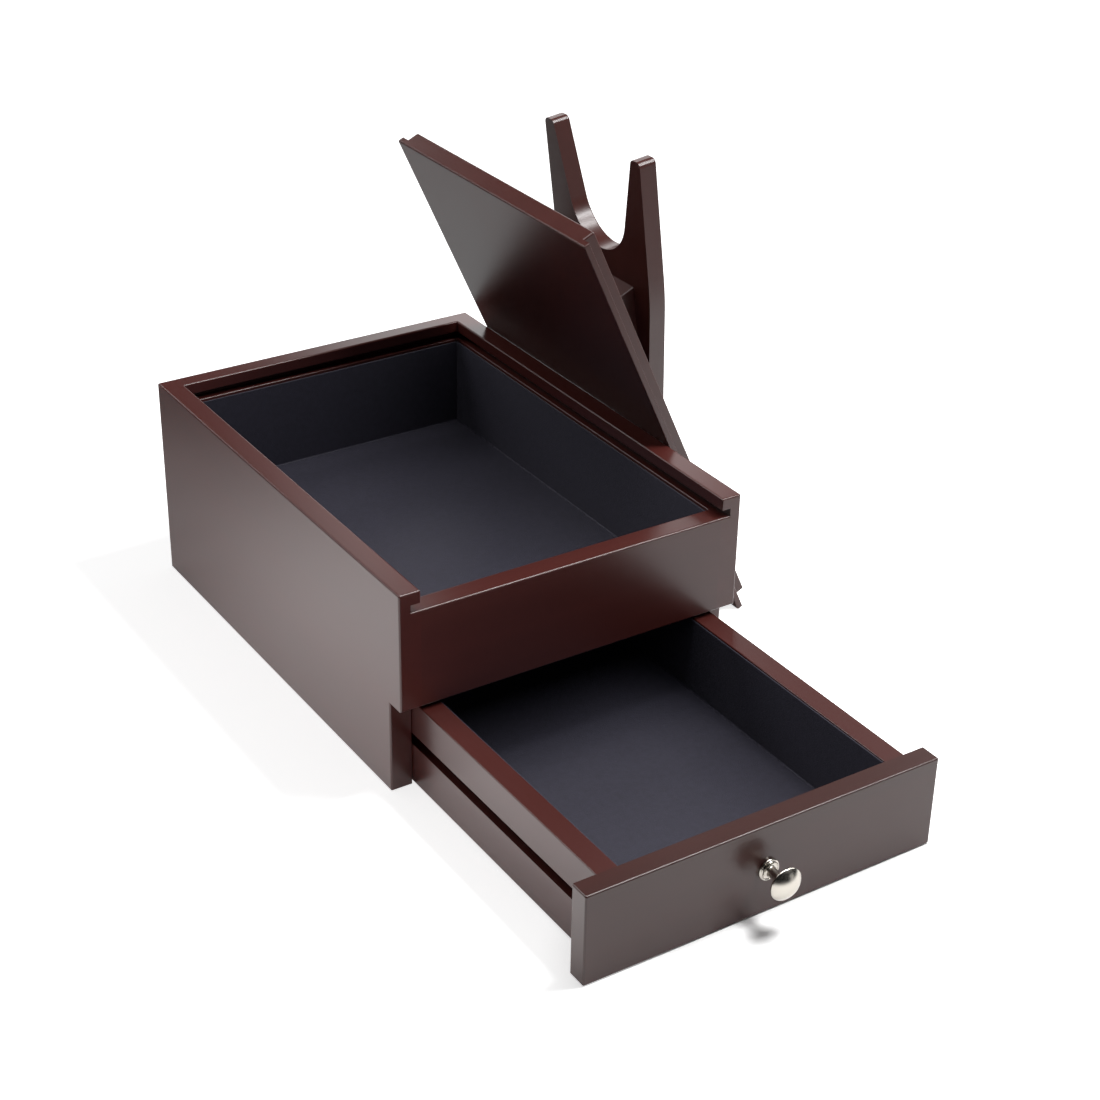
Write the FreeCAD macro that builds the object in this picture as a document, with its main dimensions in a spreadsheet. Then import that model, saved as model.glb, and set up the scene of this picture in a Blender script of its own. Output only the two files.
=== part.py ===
import FreeCAD, Part
import math
import os
import Sketcher

# Shoe shine box of lacquered wood: a case with an open tray above and a drawer below,
# and a sliding lid that carries a forked shoe rest. The lid is off its grooves and leans
# on the right wall, and the drawer is partly open.
# Frame: millimetres, +Z up, -Y towards the drawer's face, +X to the right.
# The origin is the middle of the case's footprint, at floor level.

SIZES = [
    # The case
    ("case_width", 255.0),
    ("case_depth", 350.0),
    ("case_height", 150.0),
    ("side_thick", 15.0),
    ("back_thick", 13.0),
    ("front_thick", 15.0),
    ("front_bottom", 67.0),
    ("edge_round", 1.2),
    ("fine_round", 0.8),
    ("closing_gap", 0.2),
    # The grooves that the lid slides in
    ("lip_height", 8.5),
    ("groove_height", 5.5),
    ("groove_depth", 7.0),
    # The tray's floor
    ("tray_floor_thick", 3.0),
    ("tray_floor_housing", 4.0),
    ("tray_floor_lap", 8.0),
    ("housing_end_gap", 0.4),
    # The linings
    ("lining_thick", 1.0),
    ("tray_lining_drop", 2.0),
    ("drawer_lining_drop", 0.8),
    # Dowels in the case and the drawer
    ("dowel_diameter", 6.0),
    ("dowel_margin", 16.0),
    ("dowel_in_face", 8.5),
    ("dowel_in_end", 20.0),
    # The drawer
    ("drawer_open", 205.0),
    ("drawer_front_thick", 14.0),
    ("drawer_headroom", 0.4),
    ("drawer_floor_gap", 0.4),
    ("drawer_side_lift", 2.0),
    ("drawer_side_thick", 15.0),
    ("drawer_side_gap", 0.7),
    ("drawer_back_thick", 12.0),
    ("drawer_rear_gap", 5.0),
    ("drawer_bottom_thick", 3.0),
    ("drawer_bottom_rise", 2.1),
    ("drawer_bottom_housing", 5.0),
    # The runners
    ("runner_height", 7.4),
    ("runner_level", 35.0),
    ("runner_housing", 3.0),
    ("runner_play", 0.3),
    ("runner_end_gap", 0.7),
    ("runner_front_setback", 12.0),
    ("runner_rear_setback", 6.0),
    ("drawer_groove_depth", 7.0),
    ("runner_screw_radius", 1.5),
    ("runner_screw_head_radius", 2.9),
    ("runner_screw_length", 15.0),
    ("runner_screw_slot", 0.6),
    ("runner_screw_margin", 25.0),
    ("runner_screw_count", 3),
    # The knob
    ("knob_radius", 11.0),
    ("knob_rim_radius", 1.4),
    ("knob_rim_level", 17.0),
    ("knob_projection", 22.5),
    ("knob_back_level", 13.6),
    ("knob_neck_radius", 3.1),
    ("knob_neck_flare", 1.2),
    ("knob_foot_radius", 4.6),
    ("rose_radius", 7.3),
    ("rose_thick", 2.5),
    ("rose_lip_radius", 1.5),
    ("knob_screw_radius", 2.0),
    ("knob_screw_head_radius", 4.0),
    ("knob_screw_reach", 8.0),
    ("knob_screw_slot", 0.9),
    ("knob_screw_clearance", 0.15),
    ("knob_bore_end_gap", 1.0),
    # The lid
    ("lid_play", 1.0),
    ("lid_sink", 0.5),
    ("lid_side_gap", 0.5),
    ("lid_setback", 4.0),
    ("lean_angle", 65.0),
    ("lean_gap", 0.3),
    ("lean_shift", 25.0),
    # The forked board and its block
    ("board_angle", 17.5),
    ("board_foot", 97.0),
    ("board_reach", 237.6),
    ("board_thick", 13.5),
    ("board_width", 116.0),
    ("board_nose", 4.0),
    ("shoulder_start", 88.0),
    ("shoulder_radius", 220.0),
    ("taper_angle", 7.7),
    ("notch_depth", 80.5),
    ("notch_radius", 34.3),
    ("notch_angle", 14.5),
    ("prong_round", 4.0),
    ("block_near", 184.5),
    ("block_length", 46.0),
    ("block_width", 78.0),
    ("block_dowel_diameter", 8.0),
    ("block_dowel_spacing", 44.0),
    ("tail_dowel_setback", 10.0),
    ("tail_dowel_spacing", 36.0),
    ("rest_dowel_depth", 7.0),
]

Y_AXIS = FreeCAD.Vector(0, 1, 0)
Z_AXIS = FreeCAD.Vector(0, 0, 1)
TOUCH = 1e-4

doc = FreeCAD.newDocument("shoe_shine_box")
sheet = doc.addObject("Spreadsheet::Sheet", "sheet")
for row, (alias, number) in enumerate(SIZES, start=1):
    sheet.set(f"A{row}", alias)
    sheet.set(f"B{row}", str(number))
    sheet.setAlias(f"B{row}", alias)
doc.recompute()


class Size:
    """A length or angle: its value now, and the formula that ties it to the sheet."""

    def __init__(self, formula, value):
        self.formula = formula
        self.value = value

    def __add__(self, other):
        other = as_size(other)
        return Size(f"({self.formula} + {other.formula})", self.value + other.value)

    def __sub__(self, other):
        other = as_size(other)
        return Size(f"({self.formula} - {other.formula})", self.value - other.value)

    def __rsub__(self, other):
        return as_size(other) - self

    def __mul__(self, other):
        other = as_size(other)
        return Size(f"({self.formula} * {other.formula})", self.value * other.value)

    def __truediv__(self, other):
        other = as_size(other)
        return Size(f"({self.formula} / {other.formula})", self.value / other.value)

    def __neg__(self):
        return Size(f"(0 - {self.formula})", -self.value)


def as_size(number):
    return number if isinstance(number, Size) else Size(f"({number})", float(number))


def size(alias):
    return Size(f"sheet.{alias}", float(sheet.get(alias)))


ZERO = as_size(0)


def sin_of(angle):
    return Size(f"sin({angle.formula})", math.sin(math.radians(angle.value)))


def cos_of(angle):
    return Size(f"cos({angle.formula})", math.cos(math.radians(angle.value)))


def tan_of(angle):
    return sin_of(angle) / cos_of(angle)


# The planes that the pieces share, worked out from the sheet

half_width = size("case_width") / 2
half_depth = size("case_depth") / 2
inner_half = half_width - size("side_thick")
back_face = half_depth - size("back_thick")
groove_floor = size("case_height") - size("lip_height") - size("groove_height")
groove_roof = groove_floor + size("groove_height")
groove_end = back_face + size("groove_depth")
front_back = -half_depth + size("front_thick")
rebate_back = -half_depth + size("drawer_front_thick") + size("closing_gap")
tray_floor_top = size("front_bottom")
tray_floor_low = tray_floor_top - size("tray_floor_thick")
dowel_radius = size("dowel_diameter") / 2

drawer_front_back = -half_depth + size("drawer_front_thick")
drawer_rear = back_face - size("drawer_rear_gap")
drawer_back_front = drawer_rear - size("drawer_back_thick")
drawer_top = tray_floor_low - size("drawer_headroom")
drawer_low = ZERO + size("drawer_floor_gap")
drawer_side_low = drawer_low + size("drawer_side_lift")
drawer_outer = inner_half - size("drawer_side_gap")
drawer_inner = drawer_outer - size("drawer_side_thick")
drawer_bottom_low = drawer_side_low + size("drawer_bottom_rise")
drawer_bottom_top = drawer_bottom_low + size("drawer_bottom_thick")
drawer_groove_half = size("runner_height") / 2 + size("runner_play")

runner_low = size("runner_level") - size("runner_height") / 2
runner_high = size("runner_level") + size("runner_height") / 2
runner_inner = drawer_outer - size("drawer_groove_depth") + size("runner_end_gap")
runner_outer = inner_half + size("runner_housing")
runner_front = rebate_back + size("runner_front_setback")
runner_rear = back_face - size("runner_rear_setback")
screw_first = runner_front + size("runner_screw_margin")
screw_last = runner_rear - size("runner_screw_margin")
screw_pitch = (screw_last - screw_first) / (size("runner_screw_count") - 1)
knob_level = (drawer_low + drawer_top) / 2

lid_thick = size("lip_height") + size("groove_height") - size("lid_sink")
tongue_thick = size("groove_height") - size("lid_play")
lid_half = inner_half + size("groove_depth") - size("lid_side_gap")
lid_top_half = inner_half - size("lid_side_gap")
tongue_reach = lid_half - lid_top_half
lid_length = groove_end - size("lid_side_gap") + half_depth - size("lid_setback")
rise_slope = tan_of(size("board_angle"))
block_far = size("block_near") + size("block_length")
block_middle = size("block_near") + size("block_length") / 2
tail_dowel_x = -size("board_foot") + size("tail_dowel_setback")

# The leaning lid touches the rounded top edge of the right wall
corner_x = half_width - size("edge_round")
corner_z = size("case_height") - size("edge_round")
lean_sin = sin_of(size("lean_angle"))
lean_cos = cos_of(size("lean_angle"))
lean_reach = corner_x * lean_sin + corner_z * lean_cos + size("edge_round") + size("lean_gap")
lean_foot = lean_reach / lean_sin

# Small tools for sketches and features

PLANE_ROLES = {"x": "YZ_Plane", "y": "XZ_Plane", "z": "XY_Plane"}


def origin_feature(body, role):
    for feature in body.Origin.OriginFeatures:
        if feature.Role == role:
            return feature
    raise RuntimeError(f"{body.Label} has no {role}")


def new_body(name):
    body = doc.addObject("PartDesign::Body", name)
    body.Label = name
    body.AllowCompound = True
    return body


def new_sketch(body, name, axis, level):
    """A sketch square to the axis, at the given level along it."""
    sketch = body.newObject("Sketcher::SketchObject", name)
    sketch.AttachmentSupport = [(origin_feature(body, PLANE_ROLES[axis]), "")]
    sketch.MapMode = "FlatFace"
    offset = -level if axis == "y" else level
    sketch.setExpression("AttachmentOffset.Base.z", offset.formula)
    return sketch


def bind(sketch, kind, places, amount):
    number = sketch.addConstraint(Sketcher.Constraint(kind, *places, amount.value))
    sketch.setExpression(f"Constraints[{number}]", amount.formula)


def draw_outline(sketch, corners, bends=None):
    """A closed outline. bends gives a side's number its radius: a positive one bulges
    to the left of the way the outline runs, a negative one to the right."""
    bends = bends or {}
    points = [FreeCAD.Vector(u.value, v.value, 0) for u, v in corners]
    count = len(points)
    for side in range(count):
        start = points[side]
        end = points[(side + 1) % count]
        if side in bends:
            radius = abs(bends[side].value)
            chord = end - start
            middle = (start + end) * 0.5
            left = FreeCAD.Vector(-chord.y, chord.x, 0).normalize()
            rise = radius - math.sqrt(radius ** 2 - (chord.Length / 2) ** 2)
            top = middle + left * math.copysign(rise, bends[side].value)
            sketch.addGeometry(Part.Arc(start, top, end))
        else:
            sketch.addGeometry(Part.LineSegment(start, end))
    for side in range(count):
        start_end, next_start = end_points(sketch, side, points, count)
        sketch.addConstraint(Sketcher.Constraint("Coincident", *start_end, *next_start))
    for side, (u, v) in enumerate(corners):
        place = vertex_of(sketch, side, points[side])
        bind(sketch, "DistanceX", (-1, 1, side, place), u)
        bind(sketch, "DistanceY", (-1, 1, side, place), v)
    for side, radius in bends.items():
        bind(sketch, "Radius", (side,), -radius if radius.value < 0 else radius)


def vertex_of(sketch, side, point):
    """1 for a line's or arc's start and 2 for its end, whichever lies at the point."""
    start = sketch.getPoint(side, 1)
    return 1 if (start - point).Length < TOUCH else 2


def end_points(sketch, side, points, count):
    far = points[(side + 1) % count]
    here = (side, vertex_of(sketch, side, far))
    there = ((side + 1) % count, vertex_of(sketch, (side + 1) % count, far))
    return here, there


def draw_rectangle(sketch, u_low, u_high, v_low, v_high):
    draw_outline(sketch, [(u_low, v_low), (u_high, v_low), (u_high, v_high), (u_low, v_high)])


def draw_circles(sketch, centres, radius):
    for u, v in centres:
        centre = FreeCAD.Vector(u.value, v.value, 0)
        number = sketch.addGeometry(Part.Circle(centre, Z_AXIS, radius.value))
        bind(sketch, "DistanceX", (-1, 1, number, 3), u)
        bind(sketch, "DistanceY", (-1, 1, number, 3), v)
        bind(sketch, "Radius", (number,), radius)


def finish_feature(body, feature):
    body.Tip = feature
    doc.recompute()
    if not feature.isValid():
        raise RuntimeError(f"{feature.Label} in {body.Label} failed")
    return feature


def pad(body, sketch, length):
    feature = body.newObject("PartDesign::Pad", "pad")
    feature.Profile = sketch
    feature.setExpression("Length", length.formula)
    return finish_feature(body, feature)


def pocket(body, sketch, length):
    """Cuts away from the sketch's normal: down, to -X, or to +Y."""
    before = body.Shape.Volume
    feature = body.newObject("PartDesign::Pocket", "pocket")
    feature.Profile = sketch
    feature.setExpression("Length", length.formula)
    finish_feature(body, feature)
    if body.Shape.Volume > before - TOUCH:
        raise RuntimeError(f"{sketch.Label} cuts nothing from {body.Label}")
    return feature


def add_block(body, name, spans):
    (x_low, x_high), (y_low, y_high), (z_low, z_high) = spans
    sketch = new_sketch(body, name, "z", z_low)
    draw_rectangle(sketch, x_low, x_high, y_low, y_high)
    return pad(body, sketch, z_high - z_low)


def cut_block(body, name, spans):
    (x_low, x_high), (y_low, y_high), (z_low, z_high) = spans
    sketch = new_sketch(body, name, "z", z_high)
    draw_rectangle(sketch, x_low, x_high, y_low, y_high)
    return pocket(body, sketch, z_high - z_low)


def drill(body, name, axis, centres, radius, low, high):
    """Round holes along an axis from low to high, centred on the other two coordinates."""
    sketch = new_sketch(body, name, axis, low if axis == "y" else high)
    draw_circles(sketch, centres, radius)
    return pocket(body, sketch, high - low)


def peg_set(name, axis, centres, radius, spans):
    """Round pegs along an axis, one set for each span."""
    body = new_body(name)
    for low, high in spans:
        sketch = new_sketch(body, f"{name}_rounds", axis, high if axis == "y" else low)
        draw_circles(sketch, centres, radius)
        pad(body, sketch, high - low)
    return body


def board(name, spans):
    body = new_body(name)
    add_block(body, f"{name}_outline", spans)
    return body


def on_plane(edge, axis, level):
    return all(abs(getattr(v.Point, axis) - level.value) < TOUCH for v in edge.Vertexes)


def edges_on(body, *planes):
    """The names of the edges that lie on all the planes."""
    return [f"Edge{number}" for number, edge in enumerate(body.Tip.Shape.Edges, start=1)
            if all(on_plane(edge, *plane) for plane in planes)]


def round_edges(body, radius, corners):
    """Rounds each edge that lies on both planes of one of the corners."""
    return fillet(body, [name for corner in corners for name in edges_on(body, *corner)], radius)


def fillet(body, names, radius):
    if not names:
        raise RuntimeError(f"no edge to round on {body.Label}")
    base = body.Tip
    feature = body.newObject("PartDesign::Fillet", "fillet")
    feature.Base = (base, sorted(set(names)))
    feature.setExpression("Radius", radius.formula)
    return finish_feature(body, feature)


def cut_arris(body, name, axis, level, corner, ways, radius, length):
    """Rounds an arris along an axis, for a length only. ways say on which side of the corner
    the wood lies, as +1 or -1 along the sketch's two directions."""
    (u, v), (u_way, v_way) = corner, ways
    sketch = new_sketch(body, name, axis, level)
    draw_outline(sketch, [(u, v), (u + radius * u_way, v), (u, v + radius * v_way)],
                 {1: radius * (u_way * v_way)})
    pocket(body, sketch, length)


def countersink(body, mouth, hole_radius, head_radius):
    """Opens the holes of one radius that end on a plane to the radius of a screw's head."""
    base = body.Tip
    rims = [f"Edge{number}" for number, edge in enumerate(base.Shape.Edges, start=1)
            if isinstance(edge.Curve, Part.Circle) and on_plane(edge, *mouth)
            and abs(edge.Curve.Radius - hole_radius.value) < TOUCH]
    feature = body.newObject("PartDesign::Chamfer", "countersink")
    feature.Base = (base, rims)
    feature.setExpression("Size", (head_radius - hole_radius).formula)
    return finish_feature(body, feature)


def set_place(body, axis, x, y, z, angle):
    """Turns the body about one of the three axes and moves it, both tied to the sheet."""
    body.Placement = FreeCAD.Placement(
        FreeCAD.Vector(x.value, y.value, z.value), FreeCAD.Rotation(axis, angle.value))
    body.setExpression("Placement.Rotation.Angle", angle.formula)
    body.setExpression("Placement.Base.x", x.formula)
    body.setExpression("Placement.Base.y", y.formula)
    body.setExpression("Placement.Base.z", z.formula)
    return body


def mirrored_span(hand, near, far):
    """The span from near to far on the left (-1) or right (+1) of the middle."""
    return (near, far) if hand > 0 else (-far, -near)


PARTS = []


def keep(body):
    PARTS.append(body)
    return body


# Dowel and screw places, the same for the pegs and for their holes

front_dowels = [
    (-half_depth + size("front_thick") / 2, size("front_bottom") + size("dowel_margin")),
    (-half_depth + size("front_thick") / 2, groove_floor - size("dowel_margin")),
]
back_dowels = [
    (half_depth - size("back_thick") / 2, ZERO + size("dowel_margin")),
    (half_depth - size("back_thick") / 2, size("front_bottom") + size("dowel_margin")),
    (half_depth - size("back_thick") / 2, groove_floor - size("dowel_margin")),
]
case_dowel_far = inner_half + size("dowel_in_face")
case_dowel_near = inner_half - size("dowel_in_end")
runner_screw_places = [
    (screw_first + screw_pitch * step, size("runner_level"))
    for step in range(int(size("runner_screw_count").value))]

# The side walls: full height behind, cut back below at the front for the drawer's face.
# The arrises along the lid's groove are rounded more finely than the outer edges, and the
# inner arrises stop where the front wall and the back wall meet the side wall flush.


def make_side(name, hand):
    wall = mirrored_span(hand, inner_half, half_width)
    body = board(name, (wall, (-half_depth, half_depth), (ZERO, size("case_height"))))
    cut_block(body, "drawer_rebate", (
        wall, (-half_depth, rebate_back), (ZERO, size("front_bottom"))))
    cut_block(body, "lid_groove", (
        mirrored_span(hand, inner_half, inner_half + size("groove_depth")),
        (-half_depth, groove_end), (groove_floor, groove_roof)))
    cut_block(body, "tray_floor_groove", (
        mirrored_span(hand, inner_half, inner_half + size("tray_floor_housing")),
        (rebate_back, back_face + size("tray_floor_housing")), (tray_floor_low, tray_floor_top)))
    cut_block(body, "runner_groove", (
        mirrored_span(hand, inner_half, runner_outer),
        (runner_front, runner_rear), (runner_low, runner_high)))
    drill(body, "dowel_holes", "x", front_dowels + back_dowels, dowel_radius,
          *mirrored_span(hand, inner_half, case_dowel_far))
    drill(body, "screw_holes", "x", runner_screw_places, size("runner_screw_radius"),
          *mirrored_span(hand, runner_outer, runner_inner + size("runner_screw_length")))
    outside = ("x", half_width if hand > 0 else -half_width)
    inside = ("x", inner_half if hand > 0 else -inner_half)
    top = ("z", size("case_height"))
    front = ("y", -half_depth)
    rebate = ("y", rebate_back)
    bottom = ("z", ZERO)
    rear = ("y", half_depth)
    round_edges(body, size("edge_round"), [
        (outside, top), (front, top), (rear, top), (outside, front), (outside, rear),
        (outside, bottom), (outside, rebate), (rebate, bottom),
        (front, ("z", size("front_bottom"))), (front, ("z", groove_floor)),
    ])
    face = inside[1]
    cut_arris(body, "top_arris", "y", -half_depth, (face, size("case_height")), (hand, -1),
              size("edge_round"), back_face + half_depth)
    cut_arris(body, "roof_arris", "y", -half_depth, (face, groove_roof), (hand, 1),
              size("fine_round"), back_face + half_depth)
    cut_arris(body, "floor_arris", "y", front_back, (face, groove_floor), (hand, -1),
              size("fine_round"), back_face - front_back)
    cut_arris(body, "lip_front_arris", "z", size("case_height"), (face, -half_depth), (hand, 1),
              size("fine_round"), size("case_height") - groove_roof)
    return keep(body)


make_side("left_side", -1)
make_side("right_side", 1)

# The back wall stands between the side walls, grooved for the lid and the tray's floor

back_panel = board("back_panel", (
    (-inner_half, inner_half), (back_face, half_depth), (ZERO, size("case_height"))))
cut_block(back_panel, "lid_groove", (
    (-inner_half, inner_half), (back_face, groove_end), (groove_floor, groove_roof)))
cut_block(back_panel, "tray_floor_groove", (
    (-inner_half, inner_half), (back_face, back_face + size("tray_floor_housing")),
    (tray_floor_low, tray_floor_top)))
drill(back_panel, "dowel_holes_left", "x", back_dowels, dowel_radius,
      -inner_half, -case_dowel_near)
drill(back_panel, "dowel_holes_right", "x", back_dowels, dowel_radius,
      case_dowel_near, inner_half)
round_edges(back_panel, size("edge_round"), [
    (("y", half_depth), ("z", size("case_height"))),
    (("y", back_face), ("z", size("case_height"))),
    (("y", half_depth), ("z", ZERO)),
])
round_edges(back_panel, size("fine_round"), [
    (("y", back_face), ("z", groove_floor)), (("y", back_face), ("z", groove_roof))])
keep(back_panel)

# The upper front wall stops at the groove's floor, so that the lid slides out over it

front_panel = board("front_panel", (
    (-inner_half, inner_half), (-half_depth, front_back), (size("front_bottom"), groove_floor)))
drill(front_panel, "dowel_holes_left", "x", front_dowels, dowel_radius,
      -inner_half, -case_dowel_near)
drill(front_panel, "dowel_holes_right", "x", front_dowels, dowel_radius,
      case_dowel_near, inner_half)
round_edges(front_panel, size("edge_round"), [
    (("y", -half_depth), ("z", groove_floor)),
    (("y", front_back), ("z", groove_floor)),
    (("y", -half_depth), ("z", size("front_bottom"))),
])
keep(front_panel)

# The tray's floor sits in grooves on three sides and laps under the upper front wall

floor_side = inner_half + size("tray_floor_housing") - size("housing_end_gap")
floor_rear = back_face + size("tray_floor_housing") - size("housing_end_gap")
lap_front = front_back - size("tray_floor_lap")
tray_floor = new_body("tray_floor")
floor_sketch = new_sketch(tray_floor, "floor_outline", "z", tray_floor_low)
draw_outline(floor_sketch, [
    (-inner_half, lap_front), (inner_half, lap_front), (inner_half, rebate_back),
    (floor_side, rebate_back), (floor_side, floor_rear), (-floor_side, floor_rear),
    (-floor_side, rebate_back), (-inner_half, rebate_back)])
pad(tray_floor, floor_sketch, size("tray_floor_thick"))
keep(tray_floor)

# Case dowels, left and right of the middle

case_dowels = peg_set("case_dowels", "x", front_dowels + back_dowels, dowel_radius, [
    (-case_dowel_far, -case_dowel_near), (case_dowel_near, case_dowel_far)])
keep(case_dowels)

# The runners: a strip let into each side wall, which the drawer's side rides on


def make_runner(name, hand):
    body = board(name, (
        mirrored_span(hand, runner_inner, runner_outer),
        (runner_front, runner_rear), (runner_low, runner_high)))
    drill(body, "screw_holes", "x", runner_screw_places, size("runner_screw_radius"),
          *mirrored_span(hand, runner_inner, runner_outer))
    mouth = runner_inner if hand > 0 else -runner_inner
    countersink(body, ("x", mouth), size("runner_screw_radius"), size("runner_screw_head_radius"))
    return keep(body)


make_runner("left_runner", -1)
make_runner("right_runner", 1)

# Countersunk screws: one turned on the X axis, repeated along the runner and mirrored


def screw_outline(head_radius, shank_radius, head_level, tip_level):
    """Half of a countersunk screw: head_level is its flat face, tip_level its far end."""
    neck_level = head_level + head_radius - shank_radius
    point_level = tip_level - shank_radius
    return [
        (head_level, ZERO), (head_level, head_radius), (neck_level, shank_radius),
        (point_level, shank_radius), (tip_level, ZERO)]


def revolve(body, sketch, role):
    feature = body.newObject("PartDesign::Revolution", "turned")
    feature.Profile = sketch
    feature.ReferenceAxis = (origin_feature(body, role), [""])
    feature.Angle = 360
    return finish_feature(body, feature)


runner_screws = new_body("runner_screws")
set_place(runner_screws, Z_AXIS, ZERO, screw_first, size("runner_level"), ZERO)
slot_half = size("runner_screw_slot") / 2
screw_features = []
for hand in (-1, 1):
    screw_sketch = new_sketch(runner_screws, "screw_profile", "z", ZERO)
    half_screw = screw_outline(
        size("runner_screw_head_radius"), size("runner_screw_radius"),
        runner_inner, runner_inner + size("runner_screw_length"))
    draw_outline(screw_sketch, [(level if hand > 0 else -level, radius)
                                for level, radius in half_screw])
    screw_features.append(revolve(runner_screws, screw_sketch, "X_Axis"))
    screw_features.append(cut_block(runner_screws, "screw_slot", (
        mirrored_span(hand, runner_inner, runner_inner + size("runner_screw_slot")),
        (-size("runner_screw_head_radius"), size("runner_screw_head_radius")),
        (-slot_half, slot_half))))
screw_row = runner_screws.newObject("PartDesign::LinearPattern", "screw_row")
screw_row.Originals = screw_features
screw_row.Direction = (origin_feature(runner_screws, "Y_Axis"), [""])
screw_row.setExpression("Length", (screw_last - screw_first).formula)
screw_row.setExpression("Occurrences", "sheet.runner_screw_count")
finish_feature(runner_screws, screw_row)
keep(runner_screws)

# The linings: a floor and four walls in the tray, and the same in the drawer


def line_box(prefix, x_half, y_span, floor_level, top_level, place=None):
    """Lining sheets inside a box with an open top, the end walls between the side walls."""
    thick = size("lining_thick")
    y_low, y_high = y_span
    inner = x_half - thick
    pieces = {
        "floor": ((-x_half, x_half), (y_low, y_high), (floor_level, floor_level + thick)),
        "left": ((-x_half, -inner), (y_low, y_high), (floor_level + thick, top_level)),
        "right": ((inner, x_half), (y_low, y_high), (floor_level + thick, top_level)),
        "front": ((-inner, inner), (y_low, y_low + thick), (floor_level + thick, top_level)),
        "back": ((-inner, inner), (y_high - thick, y_high), (floor_level + thick, top_level)),
    }
    for name, spans in pieces.items():
        body = board(f"{prefix}_lining_{name}", spans)
        if place:
            place(body)
        keep(body)


line_box("tray", inner_half, (front_back, back_face), tray_floor_top,
         groove_floor - size("tray_lining_drop"))

# The drawer is drawn closed, and each of its bodies is moved out to where it stands open


def open_drawer(body):
    return set_place(body, Z_AXIS, ZERO, -size("drawer_open"), ZERO, ZERO)


drawer_dowel_levels = [
    drawer_side_low + size("dowel_margin"), drawer_top - size("dowel_margin")]
drawer_side_middle = drawer_inner + size("drawer_side_thick") / 2
front_end_dowels = [
    (middle, level) for level in drawer_dowel_levels
    for middle in (-drawer_side_middle, drawer_side_middle)]
back_end_dowels = [
    (drawer_rear - size("drawer_back_thick") / 2, level) for level in drawer_dowel_levels]
front_dowel_start = drawer_front_back - size("dowel_in_face")
front_dowel_end = drawer_front_back + size("dowel_in_end")
back_dowel_far = drawer_inner + size("dowel_in_face")
back_dowel_near = drawer_inner - size("dowel_in_end")
bottom_front = drawer_front_back - size("drawer_bottom_housing")
bottom_rear = drawer_back_front + size("drawer_bottom_housing")
bottom_side = drawer_inner + size("drawer_bottom_housing")
bottom_gap = size("housing_end_gap")

drawer_front = open_drawer(board("drawer_front", (
    (-half_width, half_width), (-half_depth, drawer_front_back), (drawer_low, drawer_top))))
cut_block(drawer_front, "bottom_groove", (
    (-bottom_side, bottom_side), (bottom_front, drawer_front_back),
    (drawer_bottom_low, drawer_bottom_top)))
drill(drawer_front, "dowel_holes", "y", front_end_dowels, dowel_radius,
      front_dowel_start, drawer_front_back)
knob_hole_radius = size("knob_screw_radius") + size("knob_screw_clearance")
drill(drawer_front, "knob_hole", "y", [(ZERO, knob_level)], knob_hole_radius,
      -half_depth, drawer_front_back)
countersink(drawer_front, ("y", drawer_front_back), knob_hole_radius,
            size("knob_screw_head_radius"))
round_edges(drawer_front, size("edge_round"), [
    (("y", -half_depth), ("x", -half_width)), (("y", -half_depth), ("x", half_width)),
    (("y", -half_depth), ("z", drawer_low)), (("y", -half_depth), ("z", drawer_top)),
    (("x", -half_width), ("z", drawer_low)), (("x", -half_width), ("z", drawer_top)),
    (("x", half_width), ("z", drawer_low)), (("x", half_width), ("z", drawer_top)),
    (("x", -half_width), ("y", drawer_front_back)), (("x", half_width), ("y", drawer_front_back)),
])
keep(drawer_front)

# The drawer's sides: grooved outside for the runner and inside for the bottom


def make_drawer_side(name, hand):
    wall = mirrored_span(hand, drawer_inner, drawer_outer)
    body = open_drawer(board(name, (
        wall, (drawer_front_back, drawer_rear), (drawer_side_low, drawer_top))))
    cut_block(body, "runner_groove", (
        mirrored_span(hand, drawer_outer - size("drawer_groove_depth"), drawer_outer),
        (drawer_front_back, drawer_rear),
        (size("runner_level") - drawer_groove_half, size("runner_level") + drawer_groove_half)))
    cut_block(body, "bottom_groove", (
        mirrored_span(hand, drawer_inner, bottom_side), (drawer_front_back, bottom_rear),
        (drawer_bottom_low, drawer_bottom_top)))
    middle = drawer_side_middle if hand > 0 else -drawer_side_middle
    drill(body, "front_dowel_holes", "y", [(middle, level) for level in drawer_dowel_levels],
          dowel_radius, drawer_front_back, front_dowel_end)
    drill(body, "back_dowel_holes", "x", back_end_dowels, dowel_radius,
          *mirrored_span(hand, drawer_inner, back_dowel_far))
    outside = ("x", drawer_outer if hand > 0 else -drawer_outer)
    inside = ("x", drawer_inner if hand > 0 else -drawer_inner)
    round_edges(body, size("fine_round"), [
        (outside, ("z", drawer_top)), (inside, ("z", drawer_top)),
        (outside, ("z", drawer_side_low))])
    return keep(body)


make_drawer_side("drawer_left_side", -1)
make_drawer_side("drawer_right_side", 1)

drawer_back = open_drawer(board("drawer_back", (
    (-drawer_inner, drawer_inner), (drawer_back_front, drawer_rear),
    (drawer_side_low, drawer_top))))
cut_block(drawer_back, "bottom_groove", (
    (-drawer_inner, drawer_inner), (drawer_back_front, bottom_rear),
    (drawer_bottom_low, drawer_bottom_top)))
drill(drawer_back, "dowel_holes_left", "x", back_end_dowels, dowel_radius,
      -drawer_inner, -back_dowel_near)
drill(drawer_back, "dowel_holes_right", "x", back_end_dowels, dowel_radius,
      back_dowel_near, drawer_inner)
round_edges(drawer_back, size("fine_round"), [
    (("y", drawer_back_front), ("z", drawer_top)), (("y", drawer_rear), ("z", drawer_top))])
keep(drawer_back)

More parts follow.
